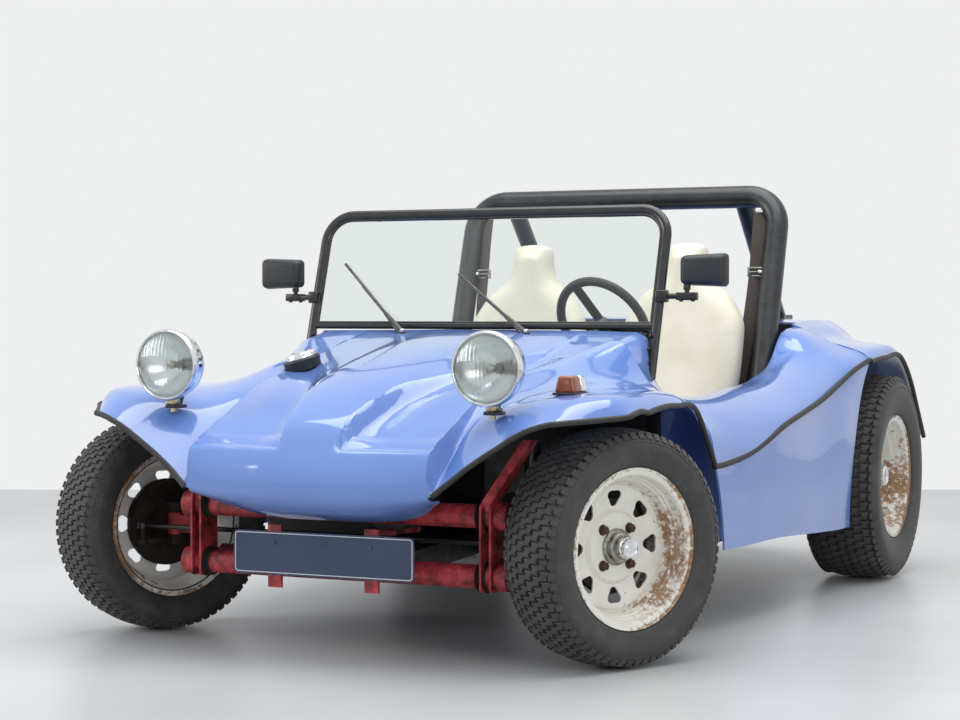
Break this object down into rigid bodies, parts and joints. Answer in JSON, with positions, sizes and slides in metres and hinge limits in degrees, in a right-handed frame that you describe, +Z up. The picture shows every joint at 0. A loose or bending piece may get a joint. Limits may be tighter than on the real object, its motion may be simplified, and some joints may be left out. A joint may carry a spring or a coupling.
{
  "type": "beach buggy",
  "caption": "Open beach buggy with a moulded body, roll hoop, framed windscreen, beam front axle with a steering linkage and an open air-cooled rear engine.",
  "frame": {"origin": "on the ground, in the middle of the vehicle's length and width", "axes": "+Z up, the front faces -Y, the vehicle's left side is +X"},
  "size_m": [1.8396, 3.182, 1.34],
  "materials": {
    "gelcoat": "gloss",
    "pan_paint": "satin",
    "screen_frame": "satin",
    "screen_glass": "polished",
    "hoop_pad": "grained vinyl",
    "seat_vinyl": "grained vinyl",
    "bright_trim": "polished",
    "amber_lens": "gloss",
    "red_lens": "gloss",
    "black_plastic": "moulded",
    "plate_paint": "satin",
    "axle_red": "gloss",
    "black_paint": "satin",
    "wheel_white": "satin",
    "tyre_rubber": "moulded",
    "cast_alloy": "cast",
    "cast_iron": "cast",
    "exhaust_steel": "heat-stained"
  },
  "bodies": {
    "chassis": {"hood_nose": "gelcoat", "fender_front_left": "gelcoat", "fender_front_right": "gelcoat", "side_panel_left": "gelcoat", "side_panel_right": "gelcoat", "fender_rear_left": "gelcoat", "fender_rear_right": "gelcoat", "deck_rear": "gelcoat", "floor_tub": "pan_paint", "dashboard": "black_plastic", "windshield_frame": "screen_frame", "windshield_glass": "screen_glass", "roll_hoop": "hoop_pad", "seat_left": "seat_vinyl", "seat_right": "seat_vinyl", "headlamps": "bright_trim", "indicators_front": "amber_lens", "fuel_filler": "bright_trim", "mirrors": "black_plastic", "wipers": "black_plastic", "number_plate": "plate_paint", "plate_brackets": "axle_red", "front_beam": "axle_red", "trailing_arms_left": "axle_red", "trailing_arms_right": "axle_red", "shocks_front": "black_paint", "steering_column": "black_paint", "rear_frame": "black_paint", "transaxle": "cast_alloy", "engine_block": "cast_alloy", "engine_cylinders": "cast_iron", "fan_shroud": "black_paint", "exhaust": "exhaust_steel", "shocks_rear": "black_paint", "tail_lamps": "red_lens", "cockpit_controls": "black_plastic"},
    "knuckle_left": {"knuckle_left": "axle_red"},
    "knuckle_right": {"knuckle_right": "axle_red"},
    "wheel_front_left": {"rim_front_left": "wheel_white", "tyre_front_left": "tyre_rubber"},
    "wheel_front_right": {"rim_front_right": "wheel_white", "tyre_front_right": "tyre_rubber"},
    "wheel_rear_left": {"rim_rear_left": "wheel_white", "tyre_rear_left": "tyre_rubber"},
    "wheel_rear_right": {"rim_rear_right": "wheel_white", "tyre_rear_right": "tyre_rubber"},
    "link_left": {"tie_rod_left": "black_paint"},
    "link_right": {"tie_rod_right": "black_paint"},
    "pitman": {"pitman_arm": "axle_red"},
    "steering_wheel": {"steering_wheel": "black_plastic"}
  },
  "joints": [
    {"name": "steer_left", "type": "hinge", "parent": "chassis", "child": "knuckle_left", "pos_m": [0.646, -1.18335, 0.307], "axis": [0, 0, 1], "range_deg": [-2.5, 53.5]},
    {"name": "spin_front_left", "type": "hinge", "parent": "knuckle_left", "child": "wheel_front_left", "pos_m": [0.646, -1.18335, 0.307], "axis": [0.9026, -0.4305, 0], "continuous": true},
    {"name": "spin_rear_left", "type": "hinge", "parent": "chassis", "child": "wheel_rear_left", "pos_m": [0.789, 0.88965, 0.349], "axis": [1, 0, 0], "continuous": true},
    {"name": "link_pivot_left", "type": "hinge", "parent": "knuckle_left", "child": "link_left", "pos_m": [0.59864, -1.28263, 0.307], "axis": [0, 0, 1], "range_deg": [-53.5, 2.5]},
    {"name": "steer_right", "type": "hinge", "parent": "chassis", "child": "knuckle_right", "pos_m": [-0.646, -1.18335, 0.307], "axis": [0, 0, 1], "range_deg": [-2.5, 53.5]},
    {"name": "spin_front_right", "type": "hinge", "parent": "knuckle_right", "child": "wheel_front_right", "pos_m": [-0.646, -1.18335, 0.307], "axis": [0.9026, -0.4305, 0], "continuous": true},
    {"name": "spin_rear_right", "type": "hinge", "parent": "chassis", "child": "wheel_rear_right", "pos_m": [-0.789, 0.88965, 0.349], "axis": [1, 0, 0], "continuous": true},
    {"name": "link_pivot_right", "type": "hinge", "parent": "knuckle_right", "child": "link_right", "pos_m": [-0.69336, -1.28263, 0.307], "axis": [0, 0, 1], "range_deg": [-53.5, 2.5]},
    {"name": "pitman_turn", "type": "hinge", "parent": "chassis", "child": "pitman", "pos_m": [0.12, -1.18335, 0.322], "axis": [0, 0, 1], "range_deg": [-2.5, 53.5]},
    {"name": "steering_wheel_turn", "type": "hinge", "parent": "chassis", "child": "steering_wheel", "pos_m": [0.304, -0.28366, 0.87], "axis": [0.1868, 0.8524, 0.4883], "range_deg": [-35, 749]}
  ],
  "couplings": [
    {"joint": "steer_right", "follows": "steer_left", "ratio": 1},
    {"joint": "link_pivot_left", "follows": "steer_left", "ratio": -1},
    {"joint": "link_pivot_right", "follows": "steer_left", "ratio": -1},
    {"joint": "pitman_turn", "follows": "steer_left", "ratio": 1},
    {"joint": "steering_wheel_turn", "follows": "steer_left", "ratio": 14}
  ]
}
